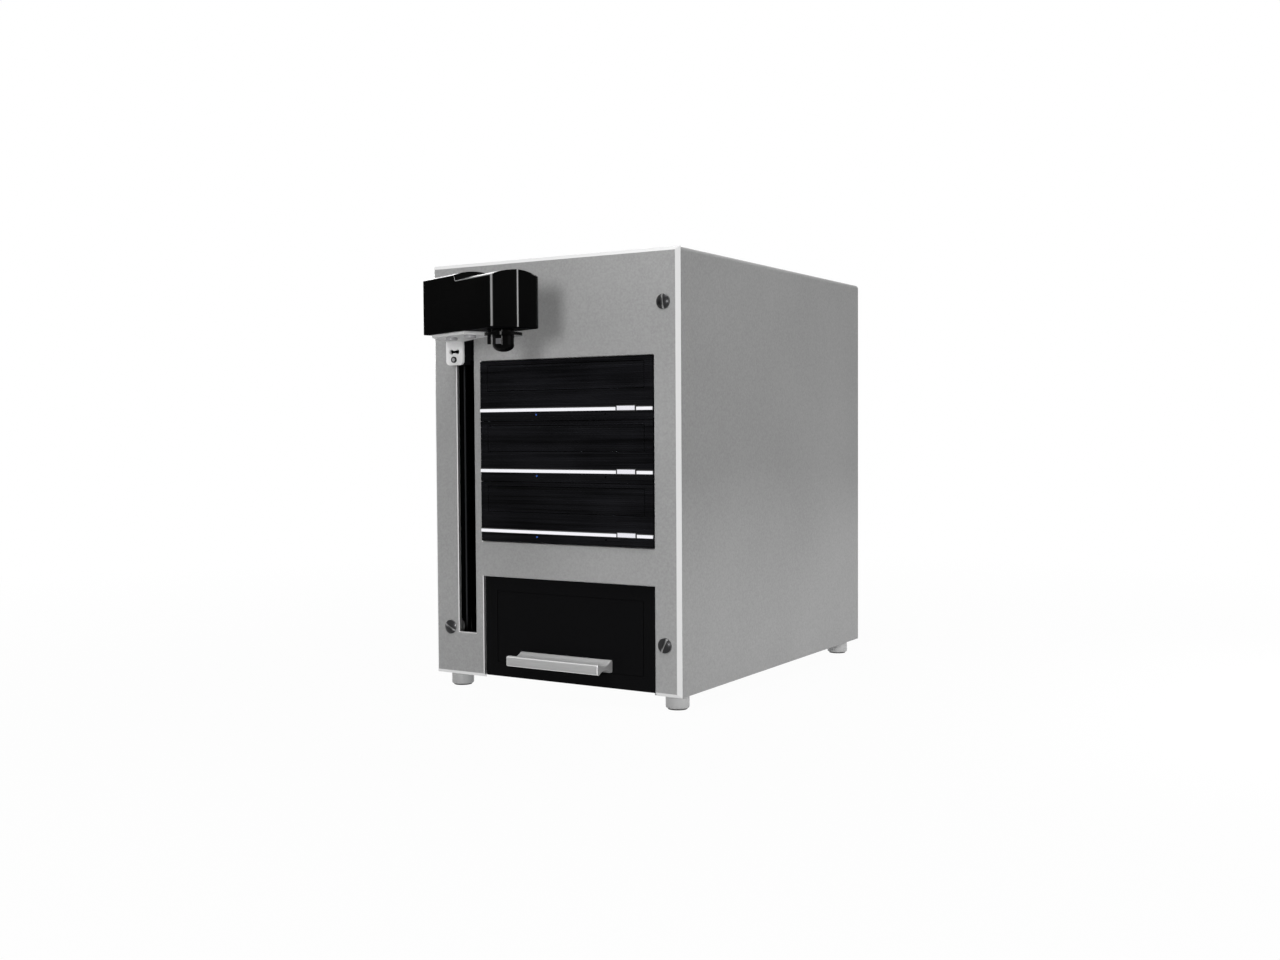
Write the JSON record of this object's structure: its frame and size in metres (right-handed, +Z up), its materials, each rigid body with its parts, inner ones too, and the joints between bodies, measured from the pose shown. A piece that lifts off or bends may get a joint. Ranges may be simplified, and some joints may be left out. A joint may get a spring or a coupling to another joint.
{
  "type": "disc duplicator",
  "caption": "Desktop tower with tray disc drives, a pull-out disc drawer and a lifting arm whose gripper carries discs between them.",
  "frame": {"origin": "on the floor, at the middle of the machine's outline", "axes": "+Z up, front towards -Y, +X to the right seen from the front"},
  "size_m": [0.2116, 0.3992, 0.3135],
  "materials": {
    "panel_silver": "fine satin silver, bead blasted and anodised",
    "zinc_steel": "zinc plated sheet",
    "zinc_bright": "bright zinc plate",
    "dark_steel": "blackened steel",
    "ground_steel": "ground and polished",
    "bright_aluminium": "satin anodised",
    "black_metal": "black powder coat",
    "black_rubber": "matt rubber",
    "gloss_black": "high gloss moulding",
    "matte_black": "fine moulded grain",
    "bezel_black": "fine ribs, semi gloss",
    "bright_strip": "bright silver trim",
    "lamp_blue": "clear blue light pipe",
    "board_green": "solder resist"
  },
  "bodies": {
    "case": {"front_panel": "panel_silver", "wrap_cover": "panel_silver", "base_plate": "zinc_steel", "rear_panel": "panel_silver", "frame_left": "zinc_steel", "frame_right": "zinc_steel", "front_screws": "dark_steel", "cover_screws": "dark_steel", "feet": "bright_aluminium", "foot_pads": "black_rubber", "drive_1_case": "zinc_steel", "drive_1_bezel": "bezel_black", "drive_2_case": "zinc_steel", "drive_2_bezel": "bezel_black", "drive_3_case": "zinc_steel", "drive_3_bezel": "bezel_black", "drive_strips": "bright_strip", "drive_lamps": "lamp_blue", "lift_frame": "black_metal", "guide_rods": "ground_steel", "lift_belt": "black_rubber", "idler_axle": "ground_steel", "lift_motor": "black_metal", "slide_outers": "zinc_steel", "power_supply": "zinc_steel", "fan_frame": "matte_black", "fan_guard": "zinc_bright", "guard_screws": "dark_steel", "mains_inlet": "matte_black", "controller_board": "board_green"},
    "lift_carriage": {"carriage": "black_metal", "arm_bracket": "zinc_bright", "bracket_screws": "dark_steel", "arm_housing": "gloss_black", "arm_base": "zinc_steel", "gripper_nose": "matte_black", "gripper_solenoid": "dark_steel"},
    "drive_pulley": {"drive_pulley": "bright_aluminium"},
    "idler_pulley": {"idler_pulley": "bright_aluminium"},
    "gripper_plunger": {"gripper_plunger": "ground_steel"},
    "gripper_finger_1": {"gripper_finger_1": "matte_black"},
    "gripper_finger_2": {"gripper_finger_2": "matte_black"},
    "gripper_finger_3": {"gripper_finger_3": "matte_black"},
    "disc_sensor_pin": {"disc_sensor_pin": "matte_black"},
    "drawer": {"drawer_front": "gloss_black", "drawer_bin": "matte_black", "drawer_handle": "bright_aluminium", "slide_inners": "zinc_steel"},
    "slide_middles": {"slide_middles": "zinc_steel"},
    "power_switch": {"power_switch": "matte_black"},
    "fan_rotor": {"fan_rotor": "matte_black"},
    "tray_1": {"drive_1_tray": "matte_black", "drive_1_door": "bezel_black"},
    "eject_button_1": {"drive_1_button": "bright_strip"},
    "tray_2": {"drive_2_tray": "matte_black", "drive_2_door": "bezel_black"},
    "eject_button_2": {"drive_2_button": "bright_strip"},
    "tray_3": {"drive_3_tray": "matte_black", "drive_3_door": "bezel_black"},
    "eject_button_3": {"drive_3_button": "bright_strip"}
  },
  "joints": [
    {"name": "arm_lift", "type": "slide", "parent": "case", "child": "lift_carriage", "axis": [0, 0, 1], "range_m": [-0.198, 0]},
    {"name": "drive_pulley_spin", "type": "hinge", "parent": "case", "child": "drive_pulley", "pos_m": [-0.084, -0.05536, 0.0345], "axis": [0, 1, 0], "range_deg": [-1420, 1]},
    {"name": "idler_pulley_spin", "type": "hinge", "parent": "case", "child": "idler_pulley", "pos_m": [-0.084, -0.05536, 0.2825], "axis": [0, 1, 0], "range_deg": [-1420, 1]},
    {"name": "gripper_plunger_slide", "type": "slide", "parent": "lift_carriage", "child": "gripper_plunger", "axis": [0, 0, -1], "range_m": [0, 0.0025], "stiffness_N_per_m": 200, "springref_m": -0.002},
    {"name": "gripper_finger_1_slide", "type": "slide", "parent": "lift_carriage", "child": "gripper_finger_1", "axis": [0.7944, 0.6074, 0], "range_m": [0, 0.001]},
    {"name": "gripper_finger_2_slide", "type": "slide", "parent": "lift_carriage", "child": "gripper_finger_2", "axis": [-0.9232, 0.3843, 0], "range_m": [0, 0.001]},
    {"name": "gripper_finger_3_slide", "type": "slide", "parent": "lift_carriage", "child": "gripper_finger_3", "axis": [0.1288, -0.9917, 0], "range_m": [0, 0.001]},
    {"name": "disc_sensor_pin_slide", "type": "slide", "parent": "lift_carriage", "child": "disc_sensor_pin", "axis": [0, 0, 1], "range_m": [0, 0.003], "stiffness_N_per_m": 60, "springref_m": -0.002},
    {"name": "tray_1_slide", "type": "slide", "parent": "case", "child": "tray_1", "axis": [0, -1, 0], "range_m": [0, 0.139]},
    {"name": "tray_2_slide", "type": "slide", "parent": "case", "child": "tray_2", "axis": [0, -1, 0], "range_m": [0, 0.139]},
    {"name": "tray_3_slide", "type": "slide", "parent": "case", "child": "tray_3", "axis": [0, -1, 0], "range_m": [0, 0.139]},
    {"name": "eject_button_1_press", "type": "slide", "parent": "case", "child": "eject_button_1", "axis": [0, 1, 0], "range_m": [0, 0.0012], "stiffness_N_per_m": 400, "springref_m": -0.001},
    {"name": "eject_button_2_press", "type": "slide", "parent": "case", "child": "eject_button_2", "axis": [0, 1, 0], "range_m": [0, 0.0012], "stiffness_N_per_m": 400, "springref_m": -0.001},
    {"name": "eject_button_3_press", "type": "slide", "parent": "case", "child": "eject_button_3", "axis": [0, 1, 0], "range_m": [0, 0.0012], "stiffness_N_per_m": 400, "springref_m": -0.001},
    {"name": "drawer_slide", "type": "slide", "parent": "case", "child": "drawer", "axis": [0, -1, 0], "range_m": [0, 0.139]},
    {"name": "slide_middles_slide", "type": "slide", "parent": "case", "child": "slide_middles", "axis": [0, -1, 0], "range_m": [0, 0.0695]},
    {"name": "power_switch_rock", "type": "hinge", "parent": "case", "child": "power_switch", "pos_m": [-0.02675, 0.19264, 0.05975], "axis": [1, 0, 0], "range_deg": [-18, 0]},
    {"name": "fan_spin", "type": "hinge", "parent": "case", "child": "fan_rotor", "pos_m": [0.03925, 0.18314, 0.04575], "axis": [0, 1, 0], "continuous": true}
  ],
  "couplings": [
    {"joint": "drive_pulley_spin", "follows": "arm_lift", "rad_per_m": 125},
    {"joint": "idler_pulley_spin", "follows": "arm_lift", "rad_per_m": 125},
    {"joint": "slide_middles_slide", "follows": "drawer_slide", "ratio": 0.5},
    {"joint": "gripper_finger_1_slide", "follows": "gripper_plunger_slide", "ratio": 0.4},
    {"joint": "gripper_finger_2_slide", "follows": "gripper_plunger_slide", "ratio": 0.4},
    {"joint": "gripper_finger_3_slide", "follows": "gripper_plunger_slide", "ratio": 0.4}
  ]
}
